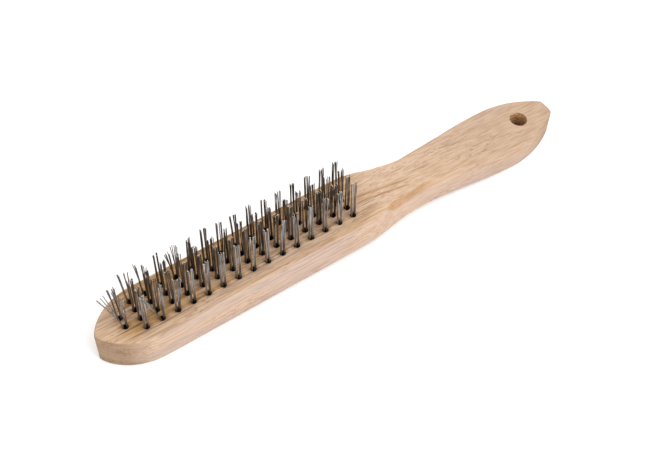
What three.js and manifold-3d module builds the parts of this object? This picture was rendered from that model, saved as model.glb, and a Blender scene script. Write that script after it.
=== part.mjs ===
// Wire scratch brush: a beech block with a waisted handle, filled with four rows of steel wire tufts. The
// handle bends gently away from the wires, to keep the knuckles clear of the work.
//
// Each tuft is a small bundle of wires folded like a hairpin over a flat anchor, and driven into its own
// blind hole. The anchor wedges between the hole's two side walls and holds the tuft there. It stops just
// short of them here, because its ends would otherwise share the wood's space.
//
// Millimetres. The pieces are laid out on the head: X runs along the brush from the nose to the handle's
// tip, Y across it, and Z up from the head's flat back. The whole brush is then tilted a little, so that it
// rests wires up on the nose and on the end of its bent handle, with the origin below its middle.

import * as THREE from 'three';
import { ParametricGeometry } from 'three/addons/geometries/ParametricGeometry.js';
import { mergeVertices } from 'three/addons/utils/BufferGeometryUtils.js';
import Module from 'manifold-3d';

const wasm = await Module();
wasm.setup();

// Wooden block
const noseEndX = -145;
const handleTipX = 143.6;
const tipCornerX = 142.6;
const tipCornerHalf = 5.2;
const headWidth = 33.5;
const headThickness = 20.5;
const waistWidth = 24.4;
const gripWidth = 32.4;
const straightStartX = -115;
const straightEndX = 8;
const waistX = 46.5;
const gripX = 108;
const neckStartX = 17;
const neckSlope = 0.125;
const handleTopStartX = 48;
const handleBackStartX = 51;
const handleSlope = 0.0615;
const bendEase = 10;
const bottomEdgeRadius = 0.5;
const headEdgeRadius = 0.8;
const hangingHoleX = 122.4;
const hangingHoleDiameter = 9.4;

// Rounding of the handle's top edges: how far it reaches in from the side, and how far down it
const shoulderX = 23;
const shoulderInset = 2.1;
const shoulderDrop = 6;
const gripX0 = 70;
const gripInset = 1.5;
const gripDrop = 1.7;

// Tuft holes
const tuftPitch = 8.75;
const rowPitch = 5.75;
const tuftColumns = 16;
const gridCentreX = -63.9;
const holeDiameter = 3.6;
const holeDepth = 11;
const holeSides = 8;

// Tufts, each made of two legs, and their anchors
const tuftHeight = 28;
const legRadius = 0.45;
const legSides = 6;
const legOffset = 0.92;
const foldDepth = 10.1;
const foldRise = 1.1;
const anchorLength = 2.9;
const anchorThickness = 0.4;
const anchorHeight = 2;
const anchorBottomDepth = 10;

const colours = { beech: 0xd9b487, steelWire: 0x6f6a64 };
const beechMaterial = new THREE.MeshStandardMaterial({ color: colours.beech, roughness: 0.75, metalness: 0 });
const wireMaterial = new THREE.MeshStandardMaterial({ color: colours.steelWire, roughness: 0.4, metalness: 0.9 });

// ---- Solids -------------------------------------------------------------------------------------------

// A closed solid made of a geometry's merged corners, without triangles that merging has closed up.
function solidFrom(geometry) {
  geometry.deleteAttribute('normal');
  geometry.deleteAttribute('uv');
  const merged = mergeVertices(geometry, 1e-3);
  const index = Array.from(merged.index.array);
  const triangles = [];
  for (let i = 0; i < index.length; i += 3) {
    const [a, b, c] = index.slice(i, i + 3);
    if (a !== b && b !== c && c !== a) {
      triangles.push(a, b, c);
    }
  }
  return new wasm.Manifold(new wasm.Mesh({
    numProp: 3,
    vertProperties: new Float32Array(merged.attributes.position.array),
    triVerts: new Uint32Array(triangles),
  }));
}

function meshFrom(solid, name, material) {
  const { vertProperties, triVerts } = solid.getMesh();
  const geometry = new THREE.BufferGeometry();
  geometry.setAttribute('position', new THREE.BufferAttribute(new Float32Array(vertProperties), 3));
  geometry.setIndex(new THREE.BufferAttribute(new Uint32Array(triVerts), 1));
  geometry.computeVertexNormals();
  const mesh = new THREE.Mesh(geometry, material);
  mesh.name = name;
  return mesh;
}

function uprightCylinder(diameter, sides, x, y, bottomZ, topZ) {
  const geometry = new THREE.CylinderGeometry(diameter / 2, diameter / 2, topZ - bottomZ, sides);
  geometry.rotateX(Math.PI / 2);
  geometry.rotateZ(Math.PI / sides);
  geometry.translate(x, y, (bottomZ + topZ) / 2);
  return solidFrom(geometry);
}

function box(sizeX, sizeY, sizeZ, x, y, z) {
  const geometry = new THREE.BoxGeometry(sizeX, sizeY, sizeZ);
  geometry.translate(x, y, z);
  return solidFrom(geometry);
}

// ---- Wooden block -------------------------------------------------------------------------------------

// Half of the block's outline, from the nose to the handle's tip: x along the block, y its half width.
function halfOutline() {
  const head = headWidth / 2;
  const waist = waistWidth / 2;
  const grip = gripWidth / 2;
  const outline = new THREE.Path();
  outline.moveTo(noseEndX, 0);
  outline.bezierCurveTo(noseEndX, 1.5, -137, head, straightStartX, head);
  outline.lineTo(straightEndX, head);
  outline.bezierCurveTo(15.7, head, 30, waist, waistX, waist);
  outline.bezierCurveTo(67.8, waist, 86.4, grip, gripX, grip);
  outline.bezierCurveTo(119, grip, 131.5, 12.6, tipCornerX, tipCornerHalf);
  outline.bezierCurveTo(143.3, 4.6, handleTipX, 3.2, handleTipX, 0);
  return outline.getPoints(8);
}

// How far x is past a bend, with the bend itself eased into a curve.
function pastBend(x, bendX) {
  const distance = x - bendX;
  if (Math.abs(distance) < bendEase) {
    return (distance + bendEase) ** 2 / (4 * bendEase);
  }
  return Math.max(distance, 0);
}

// The top is level along the head, falls along the neck, and then follows the handle's bend.
function topHeight(x) {
  const fall = neckSlope * pastBend(x, neckStartX);
  return headThickness - fall + (neckSlope - handleSlope) * pastBend(x, handleTopStartX);
}

function bottomHeight(x) {
  return -handleSlope * pastBend(x, handleBackStartX);
}

// The top edges are just broken along the head. The handle's start abruptly at the shoulder, where they
// are cut deep, and get lighter towards the grip.
function edgeRounding(x) {
  const onHandle = THREE.MathUtils.smoothstep(x, shoulderX - 3, shoulderX + 1);
  const onGrip = THREE.MathUtils.smoothstep(x, shoulderX, gripX0);
  const handleInset = THREE.MathUtils.lerp(shoulderInset, gripInset, onGrip);
  const handleDrop = THREE.MathUtils.lerp(shoulderDrop, gripDrop, onGrip);
  return {
    inset: THREE.MathUtils.lerp(headEdgeRadius, handleInset, onHandle),
    drop: THREE.MathUtils.lerp(headEdgeRadius, handleDrop, onHandle),
  };
}

// The closed cross-section at one place along the block: up one side, over the top and down the other.
function crossSection(x, halfWidth) {
  const { inset, drop } = edgeRounding(x);
  const reach = Math.min(inset, halfWidth);
  const bottomReach = Math.min(bottomEdgeRadius, halfWidth);
  const top = topHeight(x);
  const bottom = bottomHeight(x);
  const side = [
    [bottomReach - halfWidth, bottom],
    [-halfWidth, bottom + bottomEdgeRadius],
  ];
  for (const angle of [0, 45, 90]) {
    const turn = THREE.MathUtils.degToRad(angle);
    side.push([reach * (1 - Math.cos(turn)) - halfWidth, top - drop * (1 - Math.sin(turn))]);
  }
  const otherSide = side.map(([y, z]) => [-y, z]).reverse();
  return [...side, ...otherSide, side[0]];
}

function blankBlock() {
  const stations = halfOutline();
  const sections = stations.map((point) => crossSection(point.x, point.y));
  const lengthSteps = stations.length - 1;
  const roundSteps = sections[0].length - 1;
  const surface = (u, v, target) => {
    const station = Math.round(u * lengthSteps);
    const [y, z] = sections[station][Math.round(v * roundSteps)];
    target.set(stations[station].x, y, z);
  };
  return solidFrom(new ParametricGeometry(surface, lengthSteps, roundSteps));
}

function drilledHole(place) {
  const bottomZ = headThickness - holeDepth;
  return uprightCylinder(holeDiameter, holeSides, place.x, place.y, bottomZ, headThickness + 1);
}

function woodenBlock(places) {
  const hangingHole = uprightCylinder(
    hangingHoleDiameter, 24, hangingHoleX, 0, bottomHeight(handleTipX), headThickness);
  const holes = places.map(drilledHole);
  return wasm.Manifold.difference([blankBlock(), hangingHole, ...holes]);
}

// ---- Tufts --------------------------------------------------------------------------------------------

// A path of straight stretches whose steps fall on its corners, however long each stretch is.
class CornerPath extends THREE.Curve {
  constructor(corners) {
    super();
    this.corners = corners;
  }

  getPoint(t, target = new THREE.Vector3()) {
    const place = THREE.MathUtils.clamp(t, 0, 1) * (this.corners.length - 1);
    const start = Math.min(Math.floor(place), this.corners.length - 2);
    return target.lerpVectors(this.corners[start], this.corners[start + 1], place - start);
  }

  getUtoTmapping(u) {
    return u;
  }
}

// Where each tuft stands: rows a to d across the brush, columns 0 to 15 from the nose. The outer rows
// start one column later, because the nose is round.
function tuftPlaces() {
  const places = [];
  ['a', 'b', 'c', 'd'].forEach((row, rowNumber) => {
    const outerRow = row === 'a' || row === 'd';
    for (let column = outerRow ? 1 : 0; column < tuftColumns; column += 1) {
      places.push({
        label: row + String(column).padStart(2, '0'),
        x: gridCentreX + (column - (tuftColumns - 1) / 2) * tuftPitch,
        y: (rowNumber - 1.5) * rowPitch,
      });
    }
  });
  return places;
}

// How far each leg's tip stands off from straight above its foot, for the tufts that are bent.
const towardsNextRow = rowPitch + 0.4;
const ontoNeighbour = 2 * legOffset - tuftPitch - 0.4;
const bentLegs = {
  a02: { left: [ontoNeighbour, 0] },
  b00: { left: [-7.5, 5.5], right: [0, towardsNextRow] },
  c08: { left: [0, towardsNextRow] },
  d01: { left: [-2.6, 0.6], right: [-1.6, 0.4] },
  c01: { left: [-1.5, 0.4], right: [-0.8, 0.2] },
};

// Tufts whose bent wires lie against the neighbour's, so that the two are one tangle.
const tangledTufts = { a01: 'a02', b00: 'c00', c08: 'd08' };

function legCorners(place, side, lean) {
  const x = place.x + side * legOffset;
  return [
    new THREE.Vector3(x + lean[0], place.y + lean[1], headThickness + tuftHeight),
    new THREE.Vector3(x, place.y, headThickness),
    new THREE.Vector3(x, place.y, headThickness - foldDepth + foldRise),
  ];
}

function tuft(place) {
  const { left = [0, 0], right = [0, 0] } = bentLegs[place.label] ?? {};
  const fold = new THREE.Vector3(place.x, place.y, headThickness - foldDepth);
  const corners = [
    ...legCorners(place, -1, left),
    fold,
    ...legCorners(place, 1, right).reverse(),
  ];
  const section = new THREE.Shape();
  for (let i = 0; i < legSides; i += 1) {
    const angle = (2 * Math.PI * i) / legSides;
    const point = [legRadius * Math.cos(angle), legRadius * Math.sin(angle)];
    if (i === 0) {
      section.moveTo(...point);
    } else {
      section.lineTo(...point);
    }
  }
  const hairpin = new THREE.ExtrudeGeometry(section, {
    steps: corners.length - 1,
    extrudePath: new CornerPath(corners),
    bevelEnabled: false,
  });
  const anchor = box(
    anchorThickness, anchorLength, anchorHeight,
    place.x, place.y, headThickness - anchorBottomDepth + anchorHeight / 2);
  return solidFrom(hairpin).add(anchor);
}

// ---- Brush --------------------------------------------------------------------------------------------

const brush = new THREE.Group();
const places = tuftPlaces();
const placeOf = Object.fromEntries(places.map((place) => [place.label, place]));
const heldByNeighbour = new Set(Object.values(tangledTufts));

brush.add(meshFrom(woodenBlock(places), 'wooden_block', beechMaterial));
for (const place of places) {
  const partner = tangledTufts[place.label];
  if (partner) {
    const pair = tuft(place).add(tuft(placeOf[partner]));
    brush.add(meshFrom(pair, `tufts_${place.label}_${partner}`, wireMaterial));
  } else if (!heldByNeighbour.has(place.label)) {
    brush.add(meshFrom(tuft(place), `tuft_${place.label}`, wireMaterial));
  }
}

// Tilt the brush until the nose and the handle's end both touch the surface that it lies on.
const drop = bottomHeight(noseEndX) - bottomHeight(handleTipX);
brush.rotation.y = -Math.atan2(drop, handleTipX - noseEndX);
const bounds = new THREE.Box3().setFromObject(brush, true);
brush.position.set(-(bounds.min.x + bounds.max.x) / 2, 0, -bounds.min.z);

export default brush;
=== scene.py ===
import math
import random

import bmesh
import bpy
from mathutils import Matrix, Vector, noise
from mathutils.geometry import delaunay_2d_cdt


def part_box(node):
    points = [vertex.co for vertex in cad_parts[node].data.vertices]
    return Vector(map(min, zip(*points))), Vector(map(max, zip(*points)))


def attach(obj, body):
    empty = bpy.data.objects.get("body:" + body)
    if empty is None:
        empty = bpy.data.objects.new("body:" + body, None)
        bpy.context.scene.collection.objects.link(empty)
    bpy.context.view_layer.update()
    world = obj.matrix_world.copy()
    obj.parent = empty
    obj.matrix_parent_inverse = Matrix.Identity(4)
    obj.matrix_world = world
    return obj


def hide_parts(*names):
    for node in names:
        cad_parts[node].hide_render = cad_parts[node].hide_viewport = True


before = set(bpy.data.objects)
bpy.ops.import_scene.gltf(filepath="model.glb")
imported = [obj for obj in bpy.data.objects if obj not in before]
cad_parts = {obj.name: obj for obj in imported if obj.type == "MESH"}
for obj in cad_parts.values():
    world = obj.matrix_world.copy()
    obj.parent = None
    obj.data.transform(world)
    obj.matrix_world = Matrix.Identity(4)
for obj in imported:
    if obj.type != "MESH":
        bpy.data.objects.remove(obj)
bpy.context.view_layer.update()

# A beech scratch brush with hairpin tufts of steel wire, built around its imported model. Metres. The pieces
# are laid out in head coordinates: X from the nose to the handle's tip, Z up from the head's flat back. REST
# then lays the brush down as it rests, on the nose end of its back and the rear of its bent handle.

MM = 0.001
BODY = "root"

# ---- Sizes and places -------------------------------------------------------------------------------------

REST_LEAN = -0.0197303
REST = Matrix.Translation((0.846 * MM, 0, 2.861 * MM)) @ Matrix.Rotation(REST_LEAN, 4, "Y")

NOSE_X = -144.9 * MM
STRAIGHT_START_X = -115 * MM
STRAIGHT_END_X = 8 * MM
NECK_X = 17 * MM
WAIST_X = 46.5 * MM
GRIP_X = 108 * MM
TIP_X = 143.5 * MM
HEAD_HALF = 16.75 * MM
WAIST_HALF = 12.2 * MM
GRIP_HALF = 16.2 * MM
HEAD_TOP = 20.5 * MM

HANGING_HOLE_X = 122.4 * MM
HANGING_HOLE_RADIUS = 4.7 * MM

TUFT_HOLE_RADIUS = 1.6 * MM
TUFT_HOLE_DEPTH = 11 * MM
WIRE_LENGTH = 27.6 * MM
WIRE_RADIUS = 0.21 * MM
LEG_OFFSET = 0.94 * MM
FOLD_DEPTH = 10 * MM


def middle_of(node):
    """The middle of a CAD node, in head coordinates."""
    low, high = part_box(node)
    return REST.inverted() @ ((low + high) / 2)


# Column 3 is the first one in the near row whose tuft has a CAD node of its own.
FIRST_COLUMN = 3
LAST_COLUMN = 15
ROWS = 4
first_tuft = middle_of("tuft_a03")
last_tuft = middle_of("tuft_a15")
far_tuft = middle_of("tuft_d15")
TUFT_PITCH = (last_tuft.x - first_tuft.x) / (LAST_COLUMN - FIRST_COLUMN)
ROW_PITCH = (far_tuft.y - last_tuft.y) / (ROWS - 1)


def tuft_label(row, column):
    return f"{'abcd'[row]}{column:02d}"


def tuft_places():
    """Row and column of each tuft. The two outer rows start one column later, because the nose is round."""
    columns = range(LAST_COLUMN + 1)
    return [(row, column) for row in range(ROWS) for column in columns if column > 0 or row in (1, 2)]


def tuft_foot(row, column):
    x = first_tuft.x + (column - FIRST_COLUMN) * TUFT_PITCH
    y = first_tuft.y + row * ROW_PITCH
    return Vector((x, y, HEAD_TOP))


# ---- Stage: camera, floor and light -----------------------------------------------------------------------

def add_camera():
    data = bpy.data.cameras.new("camera")
    data.lens = 65.9
    data.sensor_width = 36
    data.clip_start = 0.01
    data.clip_end = 20
    azimuth, elevation, roll = (math.radians(a) for a in (-35.27, 54.05, -1.37))
    distance = 0.609
    aim = Vector((-17.9, -9.2, 20.5)) * MM
    back = Vector((
        math.sin(azimuth) * math.cos(elevation),
        -math.cos(azimuth) * math.cos(elevation),
        math.sin(elevation),
    ))
    camera = bpy.data.objects.new("camera", data)
    bpy.context.scene.collection.objects.link(camera)
    turn = back.to_track_quat("Z", "Y") @ Matrix.Rotation(-roll, 3, "Z").to_quaternion()
    camera.matrix_world = REST @ Matrix.Translation(aim + back * distance) @ turn.to_matrix().to_4x4()
    bpy.context.scene.camera = camera


def add_area_light(name, place, aim, size, power):
    data = bpy.data.lights.new(name, "AREA")
    data.shape = "DISK"
    data.size = size
    data.energy = power
    light = bpy.data.objects.new(name, data)
    bpy.context.scene.collection.objects.link(light)
    direction = Vector(aim) - Vector(place)
    light.matrix_world = Matrix.Translation(place) @ direction.to_track_quat("-Z", "Y").to_matrix().to_4x4()


def add_stage():
    scene = bpy.context.scene
    scene.view_settings.view_transform = "Standard"
    world = bpy.data.worlds.new("studio")
    world.use_nodes = True
    background = world.node_tree.nodes["Background"]
    background.inputs["Color"].default_value = (1, 1, 1, 1)
    background.inputs["Strength"].default_value = 1.12
    scene.world = world
    add_area_light("key", (0.35, -0.75, 1.0), (0, 0, 0), 1.2, 9)
    mesh = bpy.data.meshes.new("floor")
    side = 6
    corners = [(-side, -side, 0), (side, -side, 0), (side, side, 0), (-side, side, 0)]
    mesh.from_pydata(corners, [], [(0, 1, 2, 3)])
    floor = bpy.data.objects.new("floor", mesh)
    scene.collection.objects.link(floor)
    floor.location.z = -0.05 * MM
    material = bpy.data.materials.new("floor_white")
    material.use_nodes = True
    shader = material.node_tree.nodes["Principled BSDF"]
    shader.inputs["Base Color"].default_value = (1, 1, 1, 1)
    shader.inputs["Roughness"].default_value = 0.9
    mesh.materials.append(material)


# ---- Materials --------------------------------------------------------------------------------------------

class Nodes:
    """Short calls for building one material's nodes. Its places are in head coordinates."""

    def __init__(self, name):
        self.material = bpy.data.materials.new(name)
        self.material.use_nodes = True
        self.tree = self.material.node_tree
        self.shader = self.tree.nodes["Principled BSDF"]
        back = REST.inverted()
        inputs = {
            "Vector": self.add("ShaderNodeTexCoord").outputs["Object"],
            "Rotation": tuple(back.to_euler()),
            "Location": tuple(back.translation),
        }
        self.places = self.add("ShaderNodeMapping", inputs).outputs["Vector"]

    def add(self, kind, inputs=None, **settings):
        node = self.tree.nodes.new(kind)
        for key, value in settings.items():
            setattr(node, key, value)
        for key, value in (inputs or {}).items():
            self.put(value, node.inputs[key])
        return node

    def put(self, value, socket):
        if isinstance(value, bpy.types.NodeSocket):
            self.tree.links.new(value, socket)
        else:
            socket.default_value = value

    def stretched(self, scale, offset=(0, 0, 0)):
        """Places on the piece, scaled so that a unit of texture is 1 / scale metres along each axis."""
        mapping = self.add("ShaderNodeMapping", {"Vector": self.places, "Scale": scale, "Location": offset})
        return mapping.outputs["Vector"]

    def noise(self, scale, detail=3, roughness=0.5, distortion=0, offset=(0, 0, 0)):
        inputs = {
            "Vector": self.stretched(scale, offset),
            "Scale": 1,
            "Detail": detail,
            "Roughness": roughness,
            "Distortion": distortion,
        }
        return self.add("ShaderNodeTexNoise", inputs).outputs["Fac"]

    def ramp(self, value, low, high, start=0, end=1):
        inputs = {"Value": value, "From Min": low, "From Max": high, "To Min": start, "To Max": end}
        return self.add("ShaderNodeMapRange", inputs, interpolation_type="SMOOTHSTEP").outputs["Result"]

    def math(self, operation, first, second=0.0):
        return self.add("ShaderNodeMath", {0: first, 1: second}, operation=operation).outputs["Value"]

    def mix(self, factor, first, second):
        node = self.add("ShaderNodeMix", data_type="RGBA")
        self.put(factor, node.inputs["Factor"])
        for socket, value in (("A", first), ("B", second)):
            self.put(value, [i for i in node.inputs if i.name == socket and i.type == "RGBA"][0])
        return [o for o in node.outputs if o.type == "RGBA"][0]

    def bump(self, height, strength, distance):
        inputs = {"Height": height, "Strength": strength, "Distance": distance}
        self.put(self.add("ShaderNodeBump", inputs).outputs["Normal"], self.shader.inputs["Normal"])


def beech_material():
    n = Nodes("beech")
    pale = (0.58, 0.412, 0.29, 1)
    pink = (0.515, 0.388, 0.325, 1)
    golden = (0.47, 0.275, 0.115, 1)
    brown = (0.16, 0.075, 0.028, 1)
    end_tan = (0.17, 0.105, 0.06, 1)
    edge_tan = (0.43, 0.245, 0.12, 1)
    line_brown = (0.33, 0.165, 0.06, 1)
    hole_shade = (0.03, 0.017, 0.009, 1)
    soiled = (0.17, 0.085, 0.035, 1)

    places = n.add("ShaderNodeSeparateXYZ", {"Vector": n.places})
    along, across, up = places.outputs["X"], places.outputs["Y"], places.outputs["Z"]
    side_distance = n.math("ABSOLUTE", across)
    normal = n.add("ShaderNodeSeparateXYZ", {"Vector": n.add("ShaderNodeNewGeometry").outputs["Normal"]})
    facing_up = n.math("ABSOLUTE", normal.outputs["Z"])

    # Pinker on the sides than on top, in broad drifts along the wood.
    tone = n.noise((12, 70, 60), detail=3, distortion=0.5)
    pinkness = n.math("ADD", n.ramp(tone, 0.35, 0.65), n.ramp(facing_up, 0.2, 0.7, -0.3, 0.6))
    colour = n.mix(n.ramp(pinkness, 0, 1), pink, pale)

    # The handle is a shade greyer from use.
    colour = n.mix(n.ramp(along, 30 * MM, 110 * MM, 0, 0.45), colour, (0.40, 0.28, 0.20, 1))

    # Broad golden bands, strongest among the tufts, and fading towards the nose and down the sides.
    head = n.ramp(along, 24 * MM, 2 * MM, 0.12, 1)
    nose = n.ramp(along, -137 * MM, -124 * MM, 0.25, 1)
    middle = n.ramp(n.math("ADD", across, n.math("MULTIPLY", n.math("SUBTRACT", tone, 0.5), 9 * MM)),
                    -13 * MM, -10 * MM, 0.4, 1)
    in_field = n.math("MULTIPLY", n.math("MULTIPLY", head, nose), middle)
    in_field = n.math("MULTIPLY", in_field, n.ramp(facing_up, 0.2, 0.7, 0.3, 1))
    bands = n.ramp(n.noise((9, 230, 130), detail=4, roughness=0.6, distortion=0.6), 0.40, 0.58, 0.2, 1)
    colour = n.mix(n.math("MULTIPLY", bands, in_field), colour, golden)

    # Long thin growth lines, broken up along their length, and the finer fibre between them.
    line_noise = n.noise((14, 640, 460), detail=4, roughness=0.7, distortion=0.25, offset=(3, 1, 2))
    lines = n.ramp(line_noise, 0.54, 0.70)
    broken = n.ramp(n.noise((45, 260, 200), detail=2, offset=(6, 6, 1)), 0.38, 0.6)
    line_strength = n.math("MULTIPLY", n.ramp(in_field, 0, 1, 0.42, 0.85), broken)
    colour = n.mix(n.math("MULTIPLY", lines, line_strength), colour, brown)
    fibre = n.noise((70, 1300, 1100), detail=3, roughness=0.6, offset=(7, 3, 1))
    fibre_strength = n.ramp(in_field, 0, 1, 0.3, 0.62)
    colour = n.mix(n.math("MULTIPLY", n.ramp(fibre, 0.60, 0.36), fibre_strength), colour, brown)

    # Beech's short dark flecks, in drifts.
    fleck_cells = n.ramp(n.noise((300, 1100, 1100), detail=2, offset=(1, 9, 4)), 0.56, 0.66)
    drifts = n.ramp(n.noise((28, 100, 90), detail=2, offset=(4, 4, 4)), 0.45, 0.65, 0, 0.4)
    colour = n.mix(n.math("MULTIPLY", fleck_cells, drifts), colour, brown)

    # Two dark growth lines run down the neck beside each other.
    bowed = n.math("ADD", across, n.math("MULTIPLY", along, 0.092))
    off_first = n.math("ABSOLUTE", n.math("SUBTRACT", bowed, 0.6 * MM))
    off_second = n.math("ABSOLUTE", n.math("SUBTRACT", bowed, -2.9 * MM))
    pair = n.math("MAXIMUM", n.ramp(off_first, 0.9 * MM, 0.3 * MM), n.ramp(off_second, 0.9 * MM, 0.3 * MM))
    reach = n.math("MULTIPLY", n.ramp(along, 4 * MM, 9 * MM), n.ramp(along, 46 * MM, 30 * MM))
    pair_share = n.math("MULTIPLY", n.math("MULTIPLY", pair, reach), n.ramp(fibre, 0.3, 0.7, 0.9, 0.45))
    colour = n.mix(pair_share, colour, line_brown)

    # Rust and dirt have stained the wood around each tuft.
    column = n.math("DIVIDE", n.math("SUBTRACT", along, first_tuft.x), TUFT_PITCH)
    row = n.math("DIVIDE", n.math("SUBTRACT", across, first_tuft.y), ROW_PITCH)
    off_column = n.math("MULTIPLY", n.math("SUBTRACT", column, n.math("ROUND", column)), TUFT_PITCH)
    off_row = n.math("MULTIPLY", n.math("SUBTRACT", row, n.math("ROUND", row)), ROW_PITCH)
    ragged = n.math("MULTIPLY", n.math("SUBTRACT", fibre, 0.5), 1.6 * MM)
    from_tuft = n.math("SQRT", n.math("ADD", n.math("MULTIPLY", n.math("POWER", off_column, 2), 0.35),
                                      n.math("POWER", off_row, 2)))
    stain = n.ramp(n.math("ADD", from_tuft, ragged), 2.6 * MM, 1.3 * MM)
    outer_rows = n.ramp(side_distance, 5.7 * MM, 6.0 * MM, 0, 8 * MM)
    past_nose = n.ramp(n.math("SUBTRACT", along, outer_rows), -134 * MM, -133.5 * MM)
    inner = n.math("MULTIPLY", n.ramp(side_distance, 12.2 * MM, 11.8 * MM), past_nose)
    inner = n.math("MULTIPLY", inner, n.ramp(along, 7 * MM, 6.5 * MM))
    inner = n.math("MULTIPLY", inner, n.ramp(up, 3 * MM, 5 * MM))
    colour = n.mix(n.math("MULTIPLY", n.math("MULTIPLY", stain, inner), 0.5), colour, soiled)

    # Where the surface turns across the fibres it shows darker end grain. The rounded-over edges get a
    # darker tan band, which is partly end grain and partly painted shade, and there is a painted shade line
    # along their undersides.
    end = n.ramp(n.math("ABSOLUTE", normal.outputs["X"]), 0.1, 0.6)
    slant = n.math("MULTIPLY", facing_up, n.math("SUBTRACT", 1.0, facing_up))
    edge = n.ramp(slant, 0.08, 0.21, 0, 0.8)
    pores = n.noise((700, 900, 260), detail=3, roughness=0.65, offset=(5, 2, 8))
    layers = n.ramp(n.noise((60, 60, 420), detail=4, roughness=0.65, offset=(2, 2, 6)), 0.35, 0.65)
    end_colour = n.mix(layers, end_tan, (0.31, 0.205, 0.125, 1))
    end_colour = n.mix(n.ramp(pores, 0.35, 0.7, 0, 0.4), end_colour, golden)
    colour = n.mix(n.math("MULTIPLY", end, 0.85), colour, end_colour)
    neck_edge = n.math("MULTIPLY", n.ramp(along, 17 * MM, 24 * MM), n.ramp(along, 62 * MM, 40 * MM))
    neck_edge = n.math("MULTIPLY", neck_edge, n.ramp(across, 1 * MM, -1 * MM))
    edge_share = n.math("MULTIPLY", edge, n.ramp(neck_edge, 0, 1, 0.3, 1))
    colour = n.mix(edge_share, colour, n.mix(n.ramp(fibre, 0.35, 0.6, 0.35, 0), edge_tan, brown))
    # Painted shade: a dark brown line where the rounded edges face downwards.
    underside_shade = n.math("MULTIPLY", edge, n.ramp(normal.outputs["Z"], 0, -0.2, 0, 0.6))
    colour = n.mix(underside_shade, colour, line_brown)

    # Painted shade: the bored holes are painted dark inside, the tuft holes nearly black below their mouths.
    depth = n.ramp(up, HEAD_TOP - 0.1 * MM, HEAD_TOP - 0.8 * MM)
    colour = n.mix(n.math("MULTIPLY", inner, depth), colour, hole_shade)
    # Painted shade: the hanging hole's wall is painted a darker, streaky brown.
    from_axis = n.math("SQRT", n.math("ADD", n.math("POWER", n.math("SUBTRACT", along, HANGING_HOLE_X), 2),
                                      n.math("POWER", across, 2)))
    in_hole = n.math("MULTIPLY", n.ramp(from_axis, 5.0 * MM, 4.8 * MM), n.ramp(facing_up, 0.6, 0.3))
    hole_wall_shade = n.mix(n.ramp(fibre, 0.35, 0.65), (0.22, 0.11, 0.045, 1), (0.56, 0.33, 0.17, 1))
    colour = n.mix(in_hole, colour, hole_wall_shade)

    n.put(colour, n.shader.inputs["Base Color"])
    n.put(n.ramp(fibre, 0.2, 0.8, 0.55, 0.72), n.shader.inputs["Roughness"])
    n.shader.inputs["Specular IOR Level"].default_value = 0.18
    height = n.math("ADD", n.math("MULTIPLY", fibre, 0.6), n.math("MULTIPLY", lines, -0.5))
    n.bump(height, 0.5, 0.2 * MM)
    return n.material


def wire_material():
    n = Nodes("drawn_steel_wire")
    bright = (0.46, 0.45, 0.445, 1)
    grey = (0.25, 0.21, 0.17, 1)
    tarnish_and_shade = (0.075, 0.057, 0.042, 1)
    cut_steel = (0.62, 0.60, 0.57, 1)

    places = n.add("ShaderNodeSeparateXYZ", {"Vector": n.places})
    normal = n.add("ShaderNodeSeparateXYZ", {"Vector": n.add("ShaderNodeNewGeometry").outputs["Normal"]})

    # Painted light and shade: the near row and the nose end, which the light reaches, are painted lighter
    # than the rest, and the rows behind them, shaded by the tufts in front, are painted darker.
    near = n.ramp(places.outputs["Y"], -5.2 * MM, -7.0 * MM)
    nose = n.ramp(places.outputs["X"], -118 * MM, -126 * MM, 0, 0.7)
    painted_light_share = n.math("MAXIMUM", near, nose)

    # Each wire has its own tone, and it drifts along its length. Some wires are tarnished dark, and there
    # are more of them in the rows with painted shade.
    each = n.noise((2300, 2300, 25), detail=1)
    patches = n.noise((140, 140, 70), detail=3, roughness=0.6, offset=(2, 5, 1))
    tone = n.math("ADD", each, n.math("MULTIPLY", patches, 0.5))
    light = n.mix(painted_light_share, grey, bright)
    dark_share = n.ramp(painted_light_share, 0, 1, 1, 0.75)
    colour = n.mix(n.math("MULTIPLY", n.ramp(tone, 0.64, 0.84), dark_share), light, tarnish_and_shade)
    cut = n.ramp(normal.outputs["Z"], 0.85, 0.97)
    colour = n.mix(cut, colour, cut_steel)

    scratches = n.noise((3000, 3000, 160), detail=2)
    n.put(colour, n.shader.inputs["Base Color"])
    n.shader.inputs["Metallic"].default_value = 0.95
    n.put(n.ramp(scratches, 0.3, 0.7, 0.3, 0.5), n.shader.inputs["Roughness"])
    n.bump(scratches, 0.2, 0.02 * MM)
    return n.material


def anchor_material():
    n = Nodes("anchor_steel")
    light = (0.32, 0.31, 0.30, 1)
    dark = (0.2, 0.19, 0.18, 1)
    rolled = n.noise((400, 2500, 400), detail=2)
    n.put(n.mix(n.ramp(rolled, 0.3, 0.7), light, dark), n.shader.inputs["Base Color"])
    n.shader.inputs["Metallic"].default_value = 0.95
    n.put(n.ramp(rolled, 0.3, 0.7, 0.35, 0.55), n.shader.inputs["Roughness"])
    return n.material


# ---- Wooden block -----------------------------------------------------------------------------------------

def bezier(start, first, second, end, steps):
    """Points along one curve, without its end."""
    points = []
    for i in range(steps):
        t = i / steps
        s = 1 - t
        near_start = Vector(start) * s ** 3 + Vector(first) * 3 * s * s * t
        points.append(near_start + Vector(second) * 3 * s * t * t + Vector(end) * t ** 3)
    return points


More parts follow.
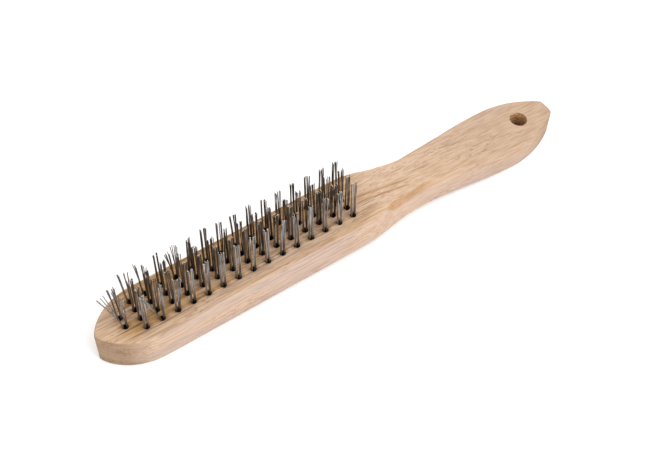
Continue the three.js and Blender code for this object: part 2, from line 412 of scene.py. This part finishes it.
def half_outline():
    """One side of the block's plan, from the nose to the handle's tip."""
    head_start = (STRAIGHT_START_X, HEAD_HALF)
    head_end = (STRAIGHT_END_X, HEAD_HALF)
    waist = (WAIST_X, WAIST_HALF)
    grip = (GRIP_X, GRIP_HALF)
    tip_corner = (142.5 * MM, 5.2 * MM)
    straight_steps = 40
    points = bezier((NOSE_X, 0), (NOSE_X, 1.5 * MM), (-137 * MM, HEAD_HALF), head_start, 32)
    points += [Vector(head_start).lerp(Vector(head_end), i / straight_steps) for i in range(straight_steps)]
    points += bezier(head_end, (15.7 * MM, HEAD_HALF), (30 * MM, WAIST_HALF), waist, 20)
    points += bezier(waist, (67.8 * MM, WAIST_HALF), (86.4 * MM, GRIP_HALF), grip, 26)
    points += bezier(grip, (119 * MM, GRIP_HALF), (131.5 * MM, 12.6 * MM), tip_corner, 30)
    points += bezier(tip_corner, (143.2 * MM, 4.6 * MM), (TIP_X, 3.2 * MM), (TIP_X, 0), 10)
    return points


def smoothstep(x, low, high):
    t = min(1, max(0, (x - low) / (high - low)))
    return t * t * (3 - 2 * t)


def past_bend(x, bend_x):
    """How far x is past a bend, eased in over a short length on both sides of it."""
    ease = 10 * MM
    distance = x - bend_x
    if abs(distance) < ease:
        return (distance + ease) ** 2 / (4 * ease)
    return max(distance, 0)


def top_height(x):
    """Level along the head, down the neck, then a gentler slope along the handle."""
    neck_slope = 0.125
    eased_slope = 0.0635
    return HEAD_TOP - neck_slope * past_bend(x, NECK_X) + eased_slope * past_bend(x, 48 * MM)


def bottom_height(x):
    """Level under the head and neck, then sloping with the handle."""
    handle_slope = 0.0615
    return -handle_slope * past_bend(x, 51 * MM)


def top_edge(x, y):
    """How far the rounding of the top edge reaches in across the top, and down the side."""
    handle = smoothstep(x, 20 * MM, 24 * MM) if y < 0 else smoothstep(x, -6 * MM, 44 * MM)
    grip = smoothstep(x, 20 * MM, 60 * MM)
    tip = smoothstep(x, 100 * MM, 132 * MM)
    head_round = 0.8
    neck_inset = 1.9
    neck_drop = 6.0
    inset = head_round + (neck_inset - 0.4 * grip - 0.6 * tip - head_round) * handle
    drop = head_round + (neck_drop - 4.3 * grip - 0.8 * tip - head_round) * handle
    return inset * MM, drop * MM


def circle(centre, radius, steps, rough=0.0, seed=0):
    """A closed loop of plan points, uneven by the given share of its radius."""
    points = []
    for i in range(steps):
        angle = 2 * math.pi * i / steps
        wobble = 1 + rough * noise.noise(Vector((math.cos(angle) * 1.5, math.sin(angle) * 1.5, seed * 7.31)))
        x = centre[0] + radius * wobble * math.cos(angle)
        y = centre[1] + radius * wobble * math.sin(angle)
        points.append(Vector((x, y)))
    return points


def inside(point, loop):
    """Whether a plan point lies inside a closed loop."""
    hit = False
    for i, a in enumerate(loop):
        b = loop[i - 1]
        if (a.y > point.y) != (b.y > point.y):
            if point.x < a.x + (point.y - a.y) * (b.x - a.x) / (b.y - a.y):
                hit = not hit
    return hit


def fill_face(bm, rim, holes, height, spacing, upwards):
    """Fills the face between a rim and its holes with triangles, whose height is a function of x."""
    loops = [rim] + holes
    verts = [v for loop in loops for v in loop]
    points = [Vector((v.co.x, v.co.y)) for v in verts]
    edges = []
    start = 0
    for loop in loops:
        count = len(loop)
        edges += [(start + i, start + (i + 1) % count) for i in range(count)]
        start += count
    rim_plan = [Vector((v.co.x, v.co.y)) for v in rim]
    hole_plans = [[Vector((v.co.x, v.co.y)) for v in loop] for loop in holes]
    hole_middles = [(sum(plan, Vector((0, 0))) / len(plan), plan) for plan in hole_plans]
    reach = {id(plan): max((p - middle).length for p in plan) for middle, plan in hole_middles}

    def in_hole(point, margin):
        return any((point - middle).length < reach[id(plan)] + margin and (margin or inside(point, plan))
                   for middle, plan in hole_middles)

    columns = int((TIP_X - NOSE_X) / spacing)
    half_rows = int(HEAD_HALF / spacing)
    for i in range(1, columns):
        for j in range(-half_rows, half_rows + 1):
            point = Vector((NOSE_X + i * spacing, (j + 0.5 * (i % 2)) * spacing))
            near_rim = any((point - p).length < spacing * 0.7 for p in rim_plan)
            if not near_rim and inside(point, rim_plan) and not in_hole(point, spacing * 0.35):
                points.append(point)
    out, _, faces, orig, _, _ = delaunay_2d_cdt(points, edges, [], 0, 1e-7)
    made = []
    for place, sources in zip(out, orig):
        fixed = [s for s in sources if s < len(verts)]
        made.append(verts[fixed[0]] if fixed else bm.verts.new((place.x, place.y, height(place.x))))
    for face in faces:
        middle = sum((Vector((made[i].co.x, made[i].co.y)) for i in face), Vector((0, 0))) / len(face)
        if inside(middle, rim_plan) and not in_hole(middle, 0):
            corners = [made[i] for i in face]
            bm.faces.new(corners if upwards else corners[::-1])


def bridge(bm, lower, upper):
    """Joins two closed loops with the same number of corners."""
    count = len(lower)
    for i in range(count):
        j = (i + 1) % count
        bm.faces.new((lower[i], lower[j], upper[j], upper[i]))


def ring(bm, plan, heights):
    return [bm.verts.new((p.x, p.y, z)) for p, z in zip(plan, heights)]


def block_mesh():
    half = half_outline()
    plan = [Vector((p.x, -p.y)) for p in half] + [Vector((TIP_X, 0))] + [Vector(p) for p in half[:0:-1]]
    count = len(plan)
    outward = []
    for i in range(count):
        run = (plan[(i + 1) % count] - plan[i - 1]).normalized()
        outward.append(Vector((run.y, -run.x)))
    worn = [1 + 0.18 * noise.noise(Vector((p.x, p.y, 0)) / (6 * MM)) for p in plan]

    bm = bmesh.new()
    rings = []
    round_steps = 6
    bottom_radius = 0.5 * MM
    for step in range(round_steps + 1):
        angle = math.pi / 2 * (1 - step / round_steps)
        inset = bottom_radius * (1 - math.cos(angle))
        rise = bottom_radius * (1 - math.sin(angle))
        moved = [p - o * inset for p, o in zip(plan, outward)]
        rings.append(ring(bm, moved, [bottom_height(m.x) + rise for m in moved]))
    for share in (0.33, 0.67):
        heights = []
        for p in plan:
            low = bottom_height(p.x) + bottom_radius
            high = top_height(p.x) - top_edge(p.x, p.y)[1]
            heights.append(low + (high - low) * share)
        rings.append(ring(bm, plan, heights))
    for step in range(round_steps + 1):
        share = step / round_steps
        angle = math.pi / 2 * share
        moved = []
        heights = []
        for p, o, w in zip(plan, outward, worn):
            inset, drop = top_edge(p.x, p.y)
            flat = smoothstep(p.x, 20 * MM, 24 * MM) * (1 - smoothstep(p.x, 42 * MM, 66 * MM))
            across = (1 - math.cos(angle)) * (1 - flat) + share * flat
            down = (1 - math.sin(angle)) * (1 - flat) + (1 - share) * flat
            place = p - o * inset * w * across
            moved.append(place)
            heights.append(top_height(place.x) - drop * w * down)
        rings.append(ring(bm, moved, heights))
    for lower, upper in zip(rings, rings[1:]):
        bridge(bm, lower, upper)

    top_holes = []
    for index, (row, column) in enumerate(tuft_places()):
        foot = tuft_foot(row, column)
        steps = 18
        depths = (0, 0.35, 1.2, 6, TUFT_HOLE_DEPTH / MM)
        widths = (1.1, 1.02, 1.0, 1.0, 0.98)
        loops = []
        for depth, width in zip(depths, widths):
            rough = 0.16 if depth == 0 else 0.05
            loop = circle(foot, TUFT_HOLE_RADIUS * width, steps, rough, index)
            loops.append(ring(bm, loop, [HEAD_TOP - depth * MM] * steps))
        for upper, lower in zip(loops, loops[1:]):
            bridge(bm, upper, lower)
        floor = bm.verts.new((foot.x, foot.y, HEAD_TOP - TUFT_HOLE_DEPTH - 0.6 * MM))
        for i in range(steps):
            bm.faces.new((loops[-1][i], loops[-1][(i + 1) % steps], floor))
        top_holes.append(loops[0])

    steps = 48
    hanging = []
    levels = ((0, 1.07, 0.03), (0.05, 1.0, 0.01), (0.5, 1.0, 0.01), (0.95, 1.0, 0.01), (1, 1.05, 0.02))
    for share, width, rough in levels:
        loop = circle((HANGING_HOLE_X, 0), HANGING_HOLE_RADIUS * width, steps, rough, 99)
        heights = [top_height(p.x) * (1 - share) + bottom_height(p.x) * share for p in loop]
        hanging.append(ring(bm, loop, heights))
    for upper, lower in zip(hanging, hanging[1:]):
        bridge(bm, upper, lower)
    top_holes.append(hanging[0])

    fill_face(bm, rings[-1], top_holes, top_height, 3 * MM, True)
    fill_face(bm, rings[0], [hanging[-1]], bottom_height, 6 * MM, False)
    bmesh.ops.recalc_face_normals(bm, faces=bm.faces)
    mesh = bpy.data.meshes.new("beech_block")
    bm.to_mesh(mesh)
    bm.free()
    mesh.shade_smooth()
    mesh.set_sharp_from_angle(angle=math.radians(38))
    return mesh


# ---- Tufts ------------------------------------------------------------------------------------------------

# How far the wires of a tuft's left and right legs lean at their tips, in millimetres along X and Y. The
# wires of a leg fan out between its two leans.
BENT_LEGS = {
    "b00": (((-9.2, 3.9), (-4.4, 4.3)), ((-1.4, 4.9), (-0.5, -3.5))),
    "c00": (((-2.4, 0.2), (-1.6, -0.6)), ((-2.0, -1.2), (-1.2, -0.8))),
    "a02": (((-8.4, -0.9), (-7.2, -1.5)), ((0.1, 0.1), (0.5, 0.2))),
    "d01": (((-3.0, -0.5), (-2.0, -1.0)), ((-1.2, -1.4), (0.3, -1.8))),
    "d02": (((-2.9, 1.3), (-1.5, -0.9)), ((-0.6, -1.4), (0.0, -5.0))),
    "a03": (((0.1, 0.3), (0.8, 0.1)), ((0.3, -0.8), (1.4, -1.4))),
    "d04": (((-4.2, -1.7), (-2.0, -3.1)), ((-0.8, -0.3), (1.1, -0.9))),
}


def tube(bm, path, radius, sides=6):
    """A closed round bar along a path of points, with flat cut ends."""
    count = len(path)
    loops = []
    side = None
    for i, place in enumerate(path):
        run = (path[min(i + 1, count - 1)] - path[max(i - 1, 0)]).normalized()
        if side is None:
            side = run.orthogonal().normalized()
        side = (side - run * side.dot(run)).normalized()
        other = run.cross(side)
        loop = []
        for k in range(sides):
            angle = 2 * math.pi * k / sides
            loop.append(bm.verts.new(place + (side * math.cos(angle) + other * math.sin(angle)) * radius))
        loops.append(loop)
    for first, second in zip(loops, loops[1:]):
        for k in range(sides):
            j = (k + 1) % sides
            bm.faces.new((first[k], first[j], second[j], second[k]))
    bm.faces.new(loops[0][::-1])
    bm.faces.new(loops[-1])


def leg_path(foot, side, spread, across, lean, rng):
    """One wire of one leg, from its tip down to the fold."""
    x = foot.x + side * (LEG_OFFSET + spread)
    y = foot.y + across
    height = WIRE_LENGTH + rng.uniform(-1.4, 0.3) * MM
    own = Vector((rng.gauss(0, 0.22), rng.gauss(0, 0.22))) * MM
    bow = Vector((rng.gauss(0, 0.14), rng.gauss(0, 0.14))) * MM
    reach = lean * MM + own
    rise = math.sqrt(max(height * height - reach.length_squared, (0.3 * height) ** 2))
    points = []
    steps = 7
    for i in range(steps):
        t = 1 - i / steps
        bend = t * t * 0.2 + t * 0.8
        sway = math.sin(math.pi * t)
        points.append(Vector((
            x + reach.x * bend + bow.x * sway,
            y + reach.y * bend + bow.y * sway,
            foot.z + rise * t,
        )))
    points.append(Vector((x, y, foot.z - 1.0 * MM)))
    return points


def leg_leans(label, rng):
    """The two leans that each leg's wires fan out between."""
    if label in BENT_LEGS:
        return [[Vector(lean) for lean in leg] for leg in BENT_LEGS[label]]
    column = int(label[1:])
    shared = Vector((0.4 - 0.1 * column + rng.gauss(0, 0.3), -0.5 + rng.gauss(0, 0.35)))
    legs = []
    for side in (-1, 1):
        leg = shared + Vector((side * rng.uniform(-0.35, 0.2), rng.gauss(0, 0.25)))
        fan = Vector((rng.uniform(0.1, 0.4), rng.uniform(-0.3, 0.3)))
        legs.append([leg - fan, leg + fan])
    return legs


def tuft_mesh(label, foot):
    rng = random.Random(label)
    left, right = leg_leans(label, rng)
    bm = bmesh.new()
    # Where each wire lies in its leg, in millimetres, and its share of the way between the leg's two leans.
    # The middle wire is nearer to the others than a wire is thick, so it runs into them.
    packing = [
        (-0.28, -0.28, 0.0),
        (-0.20, 0.36, 0.15),
        (0.0, 0.0, 0.5),
        (0.27, 0.30, 0.85),
        (0.22, -0.34, 1.0),
    ]
    fold_steps = 6
    for spread, across, share in packing:
        spread = (spread + rng.uniform(-0.05, 0.05)) * MM
        across = (across + rng.uniform(-0.05, 0.05)) * MM
        down = leg_path(foot, -1, spread, across, left[0].lerp(left[1], share), rng)
        up = leg_path(foot, 1, spread, across, right[0].lerp(right[1], share), rng)[::-1]
        bend_radius = LEG_OFFSET + spread
        centre = Vector((foot.x, foot.y + across, foot.z - FOLD_DEPTH + bend_radius))
        fold = []
        for i in range(fold_steps + 1):
            angle = math.pi + math.pi * i / fold_steps
            fold.append(centre + Vector((math.cos(angle), 0, math.sin(angle))) * bend_radius)
        tube(bm, down + fold + up, WIRE_RADIUS)
    mesh = bpy.data.meshes.new(f"wires_{label}")
    bm.to_mesh(mesh)
    bm.free()
    mesh.shade_smooth()
    mesh.set_sharp_from_angle(angle=math.radians(60))
    return mesh


def anchor_mesh(label, foot):
    """A short flat blade with rounded edges, across the hole inside the fold. Its ends cut into the wall."""
    rng = random.Random("anchor" + label)
    half_length = 1.6 * MM
    bottom = foot.z - FOLD_DEPTH + 1.5 * MM
    left_side = [(-0.15, 0.1), (-0.15, 1.9), (-0.07, 2.0)]
    right_side = [(0.07, 2.0), (0.15, 1.9), (0.15, 0.1)]
    section = left_side + right_side + [(0.07, 0), (-0.07, 0)]
    skew = rng.uniform(-0.06, 0.06)
    bm = bmesh.new()
    loops = []
    for share in (-1, -0.9, 0, 0.9, 1):
        shrink = 0.8 if abs(share) == 1 else 1
        loop = []
        for x, z in section:
            y = half_length * share
            loop.append(bm.verts.new((
                foot.x + x * MM * shrink + skew * y, foot.y + y, bottom + (1 + (z - 1) * shrink) * MM)))
        loops.append(loop)
    for first, second in zip(loops, loops[1:]):
        for i in range(len(section)):
            j = (i + 1) % len(section)
            bm.faces.new((first[i], second[i], second[j], first[j]))
    bm.faces.new(loops[0])
    bm.faces.new(loops[-1][::-1])
    bmesh.ops.recalc_face_normals(bm, faces=bm.faces)
    mesh = bpy.data.meshes.new(f"anchor_{label}")
    bm.to_mesh(mesh)
    bm.free()
    return mesh


def add_piece(name, mesh, material):
    mesh.transform(REST)
    mesh.materials.append(material)
    piece = bpy.data.objects.new(name, mesh)
    bpy.context.scene.collection.objects.link(piece)
    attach(piece, BODY)
    return piece


def cad_tuft_node(label):
    """The CAD node that holds this tuft: its own, or one that it shares with a neighbour."""
    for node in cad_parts:
        if node.startswith("tuft") and label in node.split("_"):
            return node
    raise KeyError(label)


def build():
    add_camera()
    add_stage()
    block = add_piece("beech_block", block_mesh(), beech_material())
    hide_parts("wooden_block")
    wire = wire_material()
    steel = anchor_material()
    for row, column in tuft_places():
        label = tuft_label(row, column)
        foot = tuft_foot(row, column)
        wires = add_piece(f"wires_{label}", tuft_mesh(label, foot), wire)
        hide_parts(cad_tuft_node(label))
        add_piece(f"anchor_{label}", anchor_mesh(label, foot), steel)


build()
